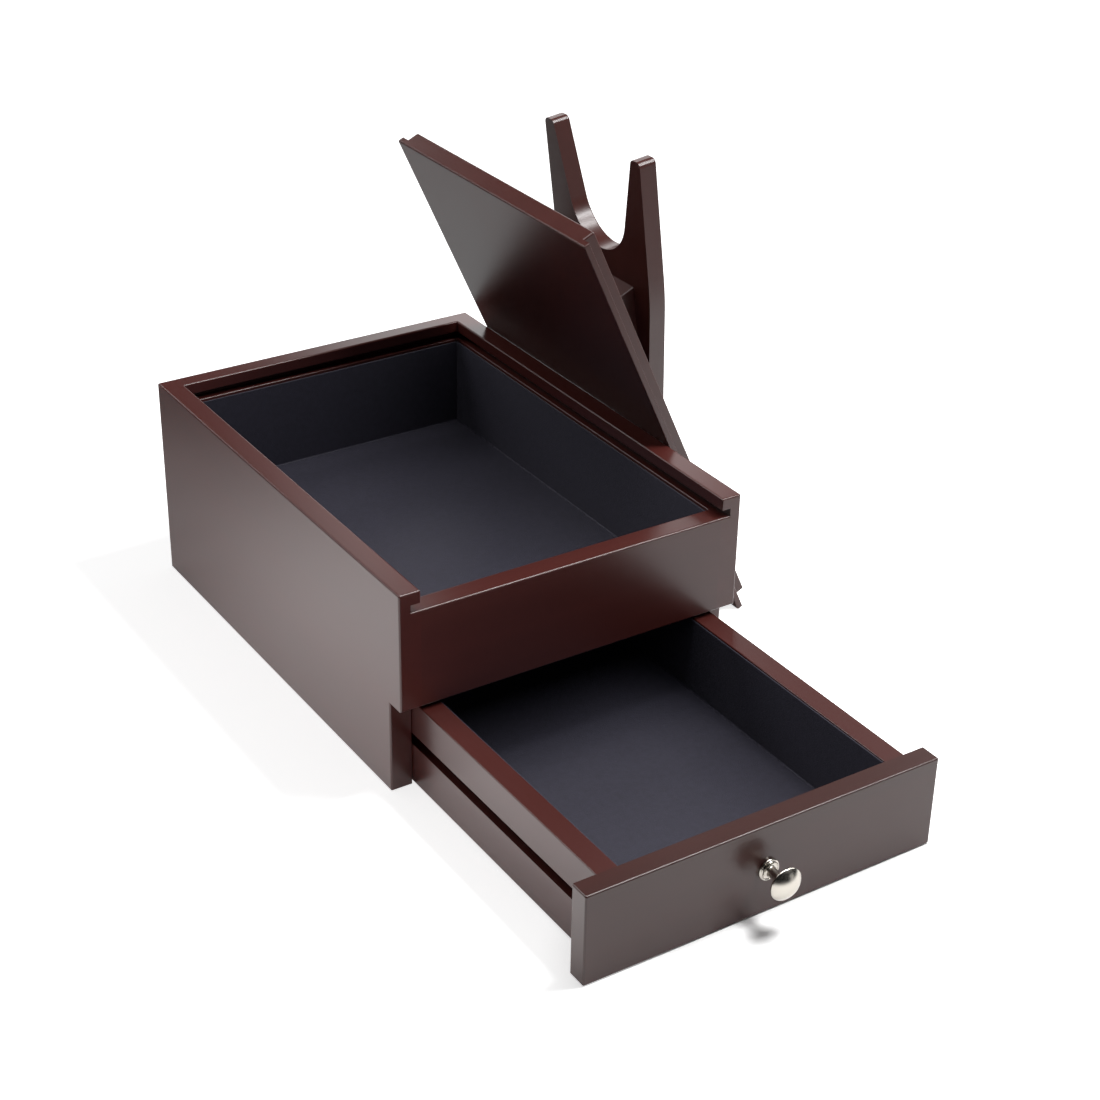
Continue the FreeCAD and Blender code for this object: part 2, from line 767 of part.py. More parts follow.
keep(open_drawer(board("drawer_bottom", (
    (-(bottom_side - bottom_gap), bottom_side - bottom_gap),
    (bottom_front + bottom_gap, bottom_rear - bottom_gap),
    (drawer_bottom_low, drawer_bottom_top)))))

# Dowels: two into each end of each side from the front, two from each side into the back

drawer_dowels = peg_set("drawer_dowels", "y", front_end_dowels, dowel_radius, [
    (front_dowel_start, front_dowel_end)])
for low, high in ((-back_dowel_far, -back_dowel_near), (back_dowel_near, back_dowel_far)):
    back_pegs = new_sketch(drawer_dowels, "back_dowel_rounds", "x", low)
    draw_circles(back_pegs, back_end_dowels, dowel_radius)
    pad(drawer_dowels, back_pegs, high - low)
keep(open_drawer(drawer_dowels))

line_box("drawer", drawer_inner, (drawer_front_back, drawer_back_front), drawer_bottom_top,
         drawer_top - size("drawer_lining_drop"), open_drawer)

# The knob, its rose and its screw are turned on an axis square to the drawer's front.
# Each outline is half a section: radius across, and distance from the front as -Y.


def place_on_front(body):
    return set_place(body, Z_AXIS, ZERO, -half_depth - size("drawer_open"), knob_level, ZERO)


def turn(name, half_section, bends):
    body = new_body(name)
    sketch = new_sketch(body, f"{name}_section", "z", ZERO)
    draw_outline(sketch, [(radius, -out) for radius, out in half_section], bends)
    revolve(body, sketch, "Y_Axis")
    return keep(place_on_front(body))


rose_thick = size("rose_thick")
turn("knob_rose", [
    (knob_hole_radius, ZERO), (size("rose_radius"), ZERO),
    (size("rose_radius"), rose_thick - size("rose_lip_radius")),
    (size("rose_radius") - size("rose_lip_radius"), rose_thick),
    (knob_hole_radius, rose_thick),
], {2: size("rose_lip_radius")})

screw_end = rose_thick + size("knob_screw_reach")
bore_end = screw_end + size("knob_bore_end_gap")
foot_cove = size("knob_foot_radius") - size("knob_neck_radius")
neck_start = rose_thick + foot_cove
neck_length = size("knob_back_level") - neck_start
neck_flare = size("knob_neck_flare")
neck_sweep = (neck_length * neck_length + neck_flare * neck_flare) / (neck_flare * 2)

# The domed face is a round centred on the axis that runs smoothly into the round rim
rim_radius = size("knob_rim_radius")
rim_centre = size("knob_radius") - rim_radius
face_rise = size("knob_projection") - size("knob_rim_level")
face_radius = (rim_centre * rim_centre + face_rise * face_rise - rim_radius * rim_radius) / (
    (face_rise - rim_radius) * 2)
face_centre = size("knob_projection") - face_radius
face_ratio = face_radius / (face_radius - rim_radius)

turn("knob", [
    (size("knob_screw_radius"), rose_thick),
    (size("knob_foot_radius"), rose_thick),
    (size("knob_neck_radius"), neck_start),
    (size("knob_neck_radius") + neck_flare, size("knob_back_level")),
    (rim_centre, size("knob_rim_level") - rim_radius),
    (rim_centre * face_ratio,
     face_centre + (size("knob_rim_level") - face_centre) * face_ratio),
    (ZERO, size("knob_projection")),
    (ZERO, bore_end),
    (size("knob_screw_radius"), bore_end),
], {1: -foot_cove, 2: -neck_sweep, 4: rim_radius, 5: face_radius})

screw_shank = size("knob_screw_radius")
screw_head = size("knob_screw_head_radius")
screw_face = -size("drawer_front_thick")
knob_screw = turn("knob_screw", [
    (ZERO, screw_face), (screw_head, screw_face),
    (screw_shank, screw_face + screw_head - screw_shank),
    (screw_shank, screw_end - screw_shank), (ZERO, screw_end),
], {})
knob_slot_half = size("knob_screw_slot") / 2
cut_block(knob_screw, "screw_slot", (
    (-screw_head, screw_head), (-screw_face - size("knob_screw_slot"), -screw_face),
    (-knob_slot_half, knob_slot_half)))

# The lid is drawn lying flat: its front end at -X, its rear tongue ending at X = 0, its
# underside at Z = 0. Each body of the lid is then leaned on the right wall.


def lean(body):
    return set_place(body, Y_AXIS, lean_foot, size("lean_shift"), ZERO, size("lean_angle"))


block_dowel_radius = size("block_dowel_diameter") / 2
block_dowel_side = size("block_dowel_spacing") / 2
tail_dowel_side = size("tail_dowel_spacing") / 2
block_dowel_places = [(-block_middle, block_dowel_side), (-block_middle, -block_dowel_side)]
tail_dowel_places = [(tail_dowel_x, tail_dowel_side), (tail_dowel_x, -tail_dowel_side)]
rest_dowel_low = lid_thick - size("rest_dowel_depth")
tail_dowel_high = lid_thick + size("rest_dowel_depth")
block_dowel_high = (lid_thick + (block_middle - size("board_foot")) * rise_slope
                    + size("rest_dowel_depth"))

lid_panel = lean(board("lid_panel", (
    (-lid_length, ZERO), (-lid_half, lid_half), (ZERO, tongue_thick))))
add_block(lid_panel, "raised_face", (
    (-lid_length, -tongue_reach), (-lid_top_half, lid_top_half), (tongue_thick, lid_thick)))
drill(lid_panel, "block_dowel_holes", "z", block_dowel_places, block_dowel_radius,
      rest_dowel_low, lid_thick)
drill(lid_panel, "tail_dowel_holes", "z", tail_dowel_places, dowel_radius,
      rest_dowel_low, lid_thick)
round_edges(lid_panel, size("edge_round"), [
    (("z", lid_thick), ("y", lid_top_half)), (("z", lid_thick), ("y", -lid_top_half)),
    (("z", lid_thick), ("x", -lid_length)), (("z", lid_thick), ("x", -tongue_reach)),
    (("x", -lid_length), ("y", lid_top_half)), (("x", -lid_length), ("y", -lid_top_half)),
    (("x", -lid_length), ("z", ZERO)),
])
round_edges(lid_panel, size("fine_round"), [
    (("y", lid_half), ("z", ZERO)), (("y", -lid_half), ("z", ZERO)),
    (("y", lid_half), ("z", tongue_thick)), (("y", -lid_half), ("z", tongue_thick)),
    (("x", ZERO), ("z", tongue_thick)),
])
keep(lid_panel)

# The block that holds the forked board up: flat below, sloped on top like the board

block_half = size("block_width") / 2
near_height = (size("block_near") - size("board_foot")) * rise_slope
far_height = (block_far - size("board_foot")) * rise_slope
rest_block = lean(new_body("rest_block"))
block_profile = new_sketch(rest_block, "block_profile", "y", block_half)
draw_outline(block_profile, [
    (-block_far, lid_thick), (-size("block_near"), lid_thick),
    (-size("block_near"), lid_thick + near_height), (-block_far, lid_thick + far_height)])
pad(rest_block, block_profile, size("block_width"))
drill(rest_block, "dowel_holes", "z", block_dowel_places, block_dowel_radius,
      lid_thick, lid_thick + far_height)
round_edges(rest_block, size("edge_round"), [
    (("x", across), ("y", along)) for across in (-size("block_near"), -block_far)
    for along in (block_half, -block_half)])
keep(rest_block)

# The forked board. Its outline is drawn on its own underside, which rises from the lid:
# prong tips at -board_reach, the line where the underside meets the lid at 0.

reach = size("board_reach")
board_half = size("board_width") / 2
board_normal = (sin_of(size("board_angle")), cos_of(size("board_angle")))
flare_sin = sin_of(size("notch_angle"))
flare_cos = cos_of(size("notch_angle"))
notch_centre = size("notch_depth") - size("notch_radius")
notch_turn = notch_centre + size("notch_radius") * flare_sin
notch_side = size("notch_radius") * flare_cos
mouth_half = notch_side + notch_turn * flare_sin / flare_cos
taper_sin = sin_of(size("taper_angle"))
taper_cos = cos_of(size("taper_angle"))
taper_start = size("shoulder_start") + size("shoulder_radius") * taper_sin
taper_half = board_half - size("shoulder_radius") * (1 - taper_cos)
board_end = reach + size("board_thick") / rise_slope
end_half = taper_half - (board_end - taper_start) * taper_sin / taper_cos
foot_length = size("board_thick") / board_normal[0]
nose_x = foot_length - size("board_foot") - size("board_nose") / rise_slope

fork_board = lean(new_body("fork_board"))
fork_outline = new_sketch(fork_board, "fork_outline", "z", lid_thick)
fork_outline.AttachmentOffset = FreeCAD.Placement(
    FreeCAD.Vector(-size("board_foot").value, 0, lid_thick.value),
    FreeCAD.Rotation(Y_AXIS, size("board_angle").value))
fork_outline.setExpression("AttachmentOffset.Base.x", (-size("board_foot")).formula)
fork_outline.setExpression("AttachmentOffset.Rotation.Angle", size("board_angle").formula)
draw_outline(fork_outline, [
    (-reach, board_half), (size("shoulder_start") - reach, board_half),
    (taper_start - reach, taper_half), (board_end - reach, end_half),
    (board_end - reach, -end_half), (taper_start - reach, -taper_half),
    (size("shoulder_start") - reach, -board_half), (-reach, -board_half),
    (-reach, -mouth_half), (notch_turn - reach, -notch_side),
    (notch_turn - reach, notch_side), (-reach, mouth_half),
], {1: size("shoulder_radius"), 5: size("shoulder_radius"), 9: -size("notch_radius")})
pad(fork_board, fork_outline, size("board_thick"))
cut_block(fork_board, "foot_cut", (
    (-size("board_foot"), foot_length - size("board_foot")), (-board_half, board_half),
    (lid_thick - size("board_thick"), lid_thick)))
cut_block(fork_board, "nose_cut", (
    (nose_x, foot_length - size("board_foot")), (-board_half, board_half),
    (lid_thick, lid_thick + size("board_nose") * 2)))
drill(fork_board, "block_dowel_holes", "z", block_dowel_places, block_dowel_radius,
      lid_thick, block_dowel_high)
drill(fork_board, "tail_dowel_holes", "z", tail_dowel_places, dowel_radius,
      lid_thick, tail_dowel_high)


def board_height(point):
    """How far a point lies above the board's underside, square to it."""
    across = point.x + size("board_foot").value
    up = point.z - lid_thick.value
    return across * board_normal[0].value + up * board_normal[1].value


def board_edges(body, chosen):
    return [f"Edge{number}" for number, edge in enumerate(body.Tip.Shape.Edges, start=1)
            if chosen(edge)]


def on_board_face(edge, level):
    return all(abs(board_height(v.Point) - level) < TOUCH for v in edge.Vertexes)


def at_prong_tip(edge):
    heights = [board_height(v.Point) for v in edge.Vertexes]
    tip_x = -(size("board_foot") + reach * board_normal[1]).value
    return max(heights) - min(heights) > size("board_thick").value / 2 and all(
        v.Point.x < tip_x + size("board_thick").value / 2 for v in edge.Vertexes)


fillet(fork_board, board_edges(fork_board, at_prong_tip), size("prong_round"))
fillet(fork_board, board_edges(
    fork_board, lambda edge: on_board_face(edge, size("board_thick").value)), size("edge_round"))
keep(fork_board)

block_dowels = lean(peg_set("block_dowels", "z", block_dowel_places, block_dowel_radius, [
    (rest_dowel_low, block_dowel_high)]))
keep(block_dowels)
tail_dowels = lean(peg_set("tail_dowels", "z", tail_dowel_places, dowel_radius, [
    (rest_dowel_low, tail_dowel_high)]))
keep(tail_dowels)

# Every object must be sound before a file is written

doc.recompute()
for thing in doc.Objects:
    if "Invalid" in thing.State or "Error" in thing.State:
        raise RuntimeError(f"{thing.Label} is {thing.State}")
for body in PARTS:
    if body.Shape.isNull() or not body.Shape.isValid() or not body.Shape.Solids:
        raise RuntimeError(f"{body.Label} has no valid shape")

os.makedirs("parts", exist_ok=True)
for body in PARTS:
    body.Shape.exportStep(f"parts/{body.Label}.step")
    print(f"{body.Label}: {len(body.Shape.Solids)} solids, {body.Shape.Volume / 1000:.2f} cm3")
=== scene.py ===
# %% [markdown]
# A shoe shine box in dark red-brown satin lacquer: a case with an open tray above and a
# drawer below, and a lid that has been slid out and leaned on the case's right wall.
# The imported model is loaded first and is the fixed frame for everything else. Lengths are
# in metres, +Z is up, -Y is the way the drawer pulls out.

# %% Load the frame
import math

import bmesh
import bpy
import numpy as np
from mathutils import Euler, Matrix, Vector


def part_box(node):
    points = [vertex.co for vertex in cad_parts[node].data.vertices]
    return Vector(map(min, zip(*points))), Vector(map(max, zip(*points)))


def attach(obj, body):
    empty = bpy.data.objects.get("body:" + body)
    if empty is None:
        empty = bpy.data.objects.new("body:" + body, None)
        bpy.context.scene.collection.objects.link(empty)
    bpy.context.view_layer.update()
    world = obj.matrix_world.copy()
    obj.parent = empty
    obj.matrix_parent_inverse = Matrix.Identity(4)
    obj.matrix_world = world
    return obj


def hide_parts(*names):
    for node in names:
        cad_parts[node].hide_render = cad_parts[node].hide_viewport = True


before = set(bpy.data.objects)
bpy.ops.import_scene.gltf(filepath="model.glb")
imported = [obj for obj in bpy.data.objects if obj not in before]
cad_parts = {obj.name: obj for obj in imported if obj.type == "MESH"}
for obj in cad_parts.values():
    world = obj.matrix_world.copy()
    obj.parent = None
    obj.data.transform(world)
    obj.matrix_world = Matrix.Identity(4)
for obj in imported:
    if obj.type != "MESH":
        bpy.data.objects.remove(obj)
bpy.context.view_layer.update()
MM = 0.001

# %% [markdown]
# The camera stands where the photographer's did. Its place and turn were worked out from
# the box's straight edges, so a long lens looks down at the box from the left.

# %% Camera
CAMERA_PLACE = Vector((-0.6613, -1.1490, 0.8037))
CAMERA_AZIMUTH = 33.34
CAMERA_ELEVATION = 29.24
CAMERA_ROLL = 1.14
CAMERA_LENS = 70.84
SENSOR = 36.0
FARTHEST_SEEN = 50.0


def aim(azimuth, elevation, roll):
    """A camera's turn: look along +Y, dip by the elevation, swing by the azimuth, then roll."""
    level = Euler((math.radians(90.0 - elevation), 0.0, -math.radians(azimuth))).to_matrix()
    return level @ Matrix.Rotation(math.radians(roll), 3, "Z")


def make_camera():
    data = bpy.data.cameras.new("camera")
    data.sensor_fit = "HORIZONTAL"
    data.sensor_width = SENSOR
    data.lens = CAMERA_LENS
    data.clip_end = FARTHEST_SEEN
    camera = bpy.data.objects.new("camera", data)
    turn = aim(CAMERA_AZIMUTH, CAMERA_ELEVATION, CAMERA_ROLL)
    camera.matrix_world = Matrix.Translation(CAMERA_PLACE) @ turn.to_4x4()
    bpy.context.scene.collection.objects.link(camera)
    bpy.context.scene.camera = camera
    return camera


camera = make_camera()
print("camera looks along", [round(v, 3) for v in camera.matrix_world.col[2].xyz * -1])

# %% [markdown]
# A material here is a small tree of nodes round one Principled shader. These helpers keep
# the trees short to read: one starts a material, one adds a node, one gives a node its
# inputs, and one makes a pattern from the object's own coordinates, stretched by a scale for
# each axis. A noise is a cloudy pattern whose numbers mostly lie between 0.3 and 0.7.

# %% Material helpers
EVEN = (1.0, 1.0, 1.0)
NO_TURN = (0.0, 0.0, 0.0)
NOISE_START, NOISE_END = 0.3, 0.7


def start_material(name):
    material = bpy.data.materials.new(name)
    material.use_nodes = True
    tree = material.node_tree
    return material, tree, tree.nodes["Principled BSDF"]


def set_inputs(tree, node, inputs):
    """Gives a node its inputs: an output of another node is linked, anything else is a value."""
    for name, value in inputs.items():
        if isinstance(value, bpy.types.NodeSocket):
            tree.links.new(value, node.inputs[name])
        else:
            node.inputs[name].default_value = value


def add(tree, kind, inputs=None, **settings):
    """A node of one kind, with its settings and its inputs."""
    node = tree.nodes.new(kind)
    for name, value in settings.items():
        setattr(node, name, value)
    set_inputs(tree, node, inputs or {})
    return node


def grey(tone):
    return (tone, tone, tone, 1.0)


def object_coordinates(tree):
    return add(tree, "ShaderNodeTexCoord").outputs["Object"]


def pattern_space(tree, scale=EVEN, turn=NO_TURN):
    """Object coordinates, turned in degrees and then stretched along the turned axes."""
    turned = add(tree, "ShaderNodeMapping", {
        "Vector": object_coordinates(tree), "Rotation": [math.radians(angle) for angle in turn]})
    return add(tree, "ShaderNodeMapping", {
        "Vector": turned.outputs["Vector"], "Scale": scale}).outputs["Vector"]


def grain_space(tree, grain_axis, across, along, turn):
    """A pattern space drawn out along the grain: a smaller scale is a longer pattern."""
    scale = [across] * 3
    scale[grain_axis] = along
    return pattern_space(tree, scale, turn)


def noise(tree, space, scale, detail, bend=0.0):
    return add(tree, "ShaderNodeTexNoise", {
        "Vector": space, "Scale": scale, "Detail": detail, "Distortion": bend}).outputs["Fac"]


def spread(tree, amount, low=0.0, high=1.0):
    """Stretches a noise from its usual start and end to the numbers low and high."""
    return add(tree, "ShaderNodeMapRange", {
        "Value": amount, "From Min": NOISE_START, "From Max": NOISE_END,
        "To Min": low, "To Max": high}).outputs["Result"]


def blend_colours(tree, amount, first, second):
    """Runs from the first colour to the second as amount goes from 0 to 1."""
    ramp = add(tree, "ShaderNodeValToRGB", {"Fac": amount})
    ramp.color_ramp.elements[0].color = (*first[:3], 1.0)
    ramp.color_ramp.elements[1].color = (*second[:3], 1.0)
    return ramp.outputs["Color"]


def raise_bump(tree, height, depth, below=None):
    """A bump of a real depth in metres, on top of the one below if there is one."""
    inputs = {"Height": height, "Distance": depth, "Strength": 1.0}
    if below is not None:
        inputs["Normal"] = below
    return add(tree, "ShaderNodeBump", inputs).outputs["Normal"]


# %% [markdown]
# The lacquer is nearly opaque: a deep red-brown with only a trace of the wood's figure
# under it. The figure is a noise stretched along the grain, so each board needs to know
# which way its grain runs. On top lie the closed pores, as faint lines, and the slight
# waviness that sprayed lacquer dries with, which softens what it mirrors. The boards get
# copies of one lacquer whose red is scaled board by board, and that is painted light and
# shade: the side walls are made warmer, and the drawer's face and the fork duller, to stand
# in for how much light falls on each.

# %% Lacquer
ALONG_X, ALONG_Y, ALONG_Z = 0, 1, 2
LID_TURN = (0.0, -65.0, 0.0)
LACQUER_DARK = (0.0390, 0.0094, 0.0076)
LACQUER_LIGHT = (0.0440, 0.0105, 0.0085)
LACQUER_ROUGH, LACQUER_ROUGH_SWING = 0.28, 0.004
LACQUER_IOR = 1.5
GRAIN_ACROSS, GRAIN_ALONG = 60.0, 3.0
GRAIN_DETAIL, GRAIN_BEND = 2.0, 0.3
PORE_ACROSS, PORE_ALONG = 1500.0, 45.0
PORE_DETAIL, PORE_DEPTH = 1.0, 0.0000002
WAVE_SCALE, WAVE_DETAIL, WAVE_DEPTH = 190.0, 2.0, 0.000002


def make_lacquer(name, grain_axis, painted_light_redness, turn=NO_TURN):
    """Brown lacquer over wood whose grain runs along one axis of the turned space. Its red is
    scaled by the given factor: over 1 is painted light, a board made warmer as if more light
    fell on it, and under 1 is painted shade."""
    material, tree, shader = start_material(name)
    dark = (LACQUER_DARK[0] * painted_light_redness, *LACQUER_DARK[1:])
    light = (LACQUER_LIGHT[0] * painted_light_redness, *LACQUER_LIGHT[1:])
    figure = noise(tree, grain_space(tree, grain_axis, GRAIN_ACROSS, GRAIN_ALONG, turn), 1.0,
                   GRAIN_DETAIL, GRAIN_BEND)
    pores = noise(tree, grain_space(tree, grain_axis, PORE_ACROSS, PORE_ALONG, turn), 1.0,
                  PORE_DETAIL)
    waves = noise(tree, pattern_space(tree), WAVE_SCALE, WAVE_DETAIL)
    wavy = raise_bump(tree, waves, WAVE_DEPTH)
    set_inputs(tree, shader, {
        "Base Color": blend_colours(tree, spread(tree, figure), dark, light),
        "Roughness": spread(tree, figure, LACQUER_ROUGH - LACQUER_ROUGH_SWING,
                            LACQUER_ROUGH + LACQUER_ROUGH_SWING),
        "Normal": raise_bump(tree, pores, PORE_DEPTH, wavy),
        "IOR": LACQUER_IOR})
    return material


# Painted light and shade: each board's factor stands in for the light on its faces, not for how
# the board took the stain.
lacquer = {
    "walls": make_lacquer("lacquer_walls", ALONG_Y, painted_light_redness=1.15),
    "along": make_lacquer("lacquer_grain_along", ALONG_Y, painted_light_redness=1.12),
    "across": make_lacquer("lacquer_grain_across", ALONG_X, painted_light_redness=1.08),
    "face": make_lacquer("lacquer_drawer_face", ALONG_X, painted_light_redness=0.82),
    "lid": make_lacquer("lacquer_lid", ALONG_X, painted_light_redness=1.0, turn=LID_TURN),
    "fork": make_lacquer("lacquer_fork", ALONG_X, painted_light_redness=0.95, turn=LID_TURN),
}
print("lacquers:", sorted(material.name for material in lacquer.values()))

# %% [markdown]
# The lining is a matt blue-black cloth-backed paper glued over thin card, with a fine even
# grain that only shows when the light rakes over it.

# %% Lining
LINING_DARK = (0.0100, 0.0097, 0.0165)
LINING_LIGHT = (0.0140, 0.0135, 0.0230)
MOTTLE_SCALE, MOTTLE_DETAIL = 260.0, 4.0
CELL_SCALE, CELL_DEPTH = 1500.0, 0.00012
FIBRE_SCALE, FIBRE_DETAIL, FIBRE_DEPTH = 2600.0, 2.0, 0.00005
LINING_SHINE = {"Roughness": 0.62, "Specular IOR Level": 0.42, "Sheen Weight": 0.12,
                "Sheen Roughness": 0.5, "Sheen Tint": (0.86, 0.83, 1.0, 1.0),
                "Specular Tint": (0.92, 0.88, 1.0, 1.0)}


def make_lining():
    material, tree, shader = start_material("lining_cloth")
    space = pattern_space(tree)
    mottle = noise(tree, space, MOTTLE_SCALE, MOTTLE_DETAIL)
    cells = add(tree, "ShaderNodeTexVoronoi", {"Vector": space, "Scale": CELL_SCALE},
                feature="SMOOTH_F1")
    fibres = noise(tree, space, FIBRE_SCALE, FIBRE_DETAIL)
    low = raise_bump(tree, cells.outputs["Distance"], CELL_DEPTH)
    set_inputs(tree, shader, {
        "Base Color": blend_colours(tree, spread(tree, mottle), LINING_DARK, LINING_LIGHT),
        "Normal": raise_bump(tree, fibres, FIBRE_DEPTH, low), **LINING_SHINE})
    return material


lining = make_lining()

# %% [markdown]
# The knob and its rose are satin nickel plate: a faintly warm metal whose finest marks,
# left by the wheel, blur what it mirrors. The screws are plain plated steel.

# %% Metals
NICKEL_COLOUR, NICKEL_ROUGH = (0.56, 0.525, 0.47), 0.24
STEEL_COLOUR, STEEL_ROUGH = (0.55, 0.54, 0.50), 0.32
STAIN_SCALE, STAIN_SHARE = 120.0, 0.96
METAL_DETAIL = 3.0
SMOOTHER, ROUGHER = 0.93, 1.07


def make_metal(name, colour, rough, mark_scale, mark_depth):
    """A metal with fine marks, which swing its roughness, under a faint darker stain."""
    material, tree, shader = start_material(name)
    space = pattern_space(tree)
    marks = noise(tree, space, mark_scale, METAL_DETAIL)
    stain = noise(tree, space, STAIN_SCALE, METAL_DETAIL)
    darker = [STAIN_SHARE * part for part in colour]
    set_inputs(tree, shader, {
        "Base Color": blend_colours(tree, spread(tree, stain), darker, colour),
        "Roughness": spread(tree, marks, rough * SMOOTHER, rough * ROUGHER),
        "Normal": raise_bump(tree, marks, mark_depth),
        "Metallic": 1.0})
    return material


nickel = make_metal("satin_nickel", NICKEL_COLOUR, NICKEL_ROUGH, mark_scale=900.0,
                    mark_depth=0.0000003)
steel = make_metal("plated_steel", STEEL_COLOUR, STEEL_ROUGH, mark_scale=1400.0,
                   mark_depth=0.000006)

# %% [markdown]
# Runners and dowels are bare beech. They are hidden while the drawer is in, but the runners
# show from below and behind, so they get a pale wood with short dark flecks.

# %% Bare wood
BEECH_DARK, BEECH_LIGHT = (0.36, 0.215, 0.115), (0.50, 0.33, 0.19)
BEECH_ACROSS, BEECH_ALONG, BEECH_DETAIL = 90.0, 6.0, 6.0
FLECK_SCALE, FLECK_DETAIL, FLECK_DEPTH = 14.0, 2.0, 0.00005
BEECH_ROUGH = 0.55


def make_beech(name, grain_axis, turn=NO_TURN):
    material, tree, shader = start_material(name)
    space = grain_space(tree, grain_axis, BEECH_ACROSS, BEECH_ALONG, turn)
    figure = noise(tree, space, 1.0, BEECH_DETAIL)
    flecks = noise(tree, space, FLECK_SCALE, FLECK_DETAIL)
    set_inputs(tree, shader, {
        "Base Color": blend_colours(tree, spread(tree, figure), BEECH_DARK, BEECH_LIGHT),
        "Normal": raise_bump(tree, flecks, FLECK_DEPTH),
        "Roughness": BEECH_ROUGH})
    return material


beech = {
    "along": make_beech("beech_grain_along", ALONG_Y),
    "across": make_beech("beech_grain_across", ALONG_X),
    "lid": make_beech("beech_grain_lid", ALONG_Z, LID_TURN),
}

# %% [markdown]
# Every piece that the frame brings keeps its shape and gets its finish here, with the grain
# along the length of its board: side walls front to back, front and back walls side to side.

# %% Dress the frame's own pieces
LACQUERED = {
    "walls": ("left_side", "right_side"),
    "along": ("drawer_left_side", "drawer_right_side", "tray_floor", "drawer_bottom"),
    "across": ("back_panel", "front_panel", "drawer_back"),
    "face": ("drawer_front",),
    "lid": ("lid_panel", "rest_block"),
    "fork": ("fork_board",),
}


def dress(names, material):
    for name in names:
        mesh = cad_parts[name].data
        mesh.materials.clear()
        mesh.materials.append(material)


for kind, names in LACQUERED.items():
    dress(names, lacquer[kind])
dress(("left_runner", "right_runner", "drawer_dowels"), beech["along"])
dress(("case_dowels",), beech["across"])
dress(("block_dowels", "tail_dowels"), beech["lid"])
dress(("runner_screws", "knob_screw"), steel)
dress(("knob", "knob_rose"), nickel)
dress([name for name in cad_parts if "lining" in name], lining)
print("dressed:", len(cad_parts), "pieces")

# %% [markdown]
# New pieces are surfaces: a grid of points worked out by a formula, then joined into faces.
# This helper takes such a grid, rows by columns, and makes a piece of it. Each row closes on
# itself, as a section or a ring does. The first and last rows are capped, or else shrink to
# a point, so that every piece is a closed skin, as the real thing is.

# %% From a grid of points to a piece
SAME_POINT = 1e-7
SMOOTH_BELOW = 40.0


def grid_faces(rows, columns):
    """Corners of the quads between neighbouring rows and columns, as an array of four indices.
    The last column joins the first."""
    row, column = [part.ravel() for part in np.meshgrid(
        np.arange(rows - 1), np.arange(columns), indexing="ij")]
    next_row, next_column = row + 1, (column + 1) % columns
    return np.stack([row * columns + column, row * columns + next_column,
                     next_row * columns + next_column, next_row * columns + column], axis=1)


def make_piece(name, points, body, material, replaced, capped=True):
    """A piece from a grid of points (rows, columns, xyz) that rides on a body and stands in
    for the replaced nodes."""
    rows, columns = points.shape[:2]
    faces = grid_faces(rows, columns).tolist()
    if capped:
        last = (rows - 1) * columns
        faces.append(list(range(columns))[::-1])
        faces.append([last + column for column in range(columns)])
    mesh = bpy.data.meshes.new(name)
    mesh.from_pydata(points.reshape(-1, 3).tolist(), [], faces)
    mesh.materials.append(material)
    tidy = bmesh.new()
    tidy.from_mesh(mesh)
    bmesh.ops.remove_doubles(tidy, verts=tidy.verts, dist=SAME_POINT)
    bmesh.ops.recalc_face_normals(tidy, faces=tidy.faces)
    tidy.to_mesh(mesh)
    tidy.free()
    mesh.shade_smooth()
    mesh.set_sharp_from_angle(angle=math.radians(SMOOTH_BELOW))
    piece = bpy.data.objects.new(name, mesh)
    bpy.context.scene.collection.objects.link(piece)
    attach(piece, body)
    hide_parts(*replaced)
    return piece


def turned(profile, sides):
    """A profile of (radius, height) points carried round the height axis: x = r cos a,
    y = r sin a, z = height."""
    angle = np.linspace(0.0, 2.0 * math.pi, sides, endpoint=False)
    radius, height = np.asarray(profile).T
    return np.stack([radius[:, None] * np.cos(angle), radius[:, None] * np.sin(angle),
                     np.repeat(height[:, None], sides, axis=1)], axis=2)


def arc(centre, radius, start, end, count):
    """Points on a circle about a centre, from one angle in degrees to another."""
    angle = np.radians(np.linspace(start, end, count))
    return np.stack([centre[0] + radius * np.cos(angle),
                     centre[1] + radius * np.sin(angle)], axis=1)


# %% [markdown]
# The linings are thin cards wrapped in cloth and glued in, one to a wall. Their top edge is
# a fold, so it is round, and at the foot the cloth turns out over the floor card in a small
# cove, which catches the light as a pale line round the floor. Each wall's section is drawn
# once, as distance from the wood and height, and carried along the wall.

# %% Wall linings
COVE = 1.1 * MM
COVE_LIP = 0.12 * MM
FOLD_POINTS = 9
CARD_STATIONS = 41
CARD_SAG = 0.12 * MM
SAG_POWER = 8


def lining_section(thick, tall):
    """The wall card's section: a round fold of half the thickness at the top, and at the foot
    a quarter circle that leaves the face at the cove's height and runs out onto the floor."""
    half = thick / 2.0
    fold = arc((half, tall - half), half, 180.0, 0.0, FOLD_POINTS)
    cove = arc((thick + COVE, COVE + COVE_LIP), COVE, 180.0, 270.0, FOLD_POINTS)
    return np.vstack([[[0.0, 0.0]], fold, cove, [[thick + COVE, 0.0]]])


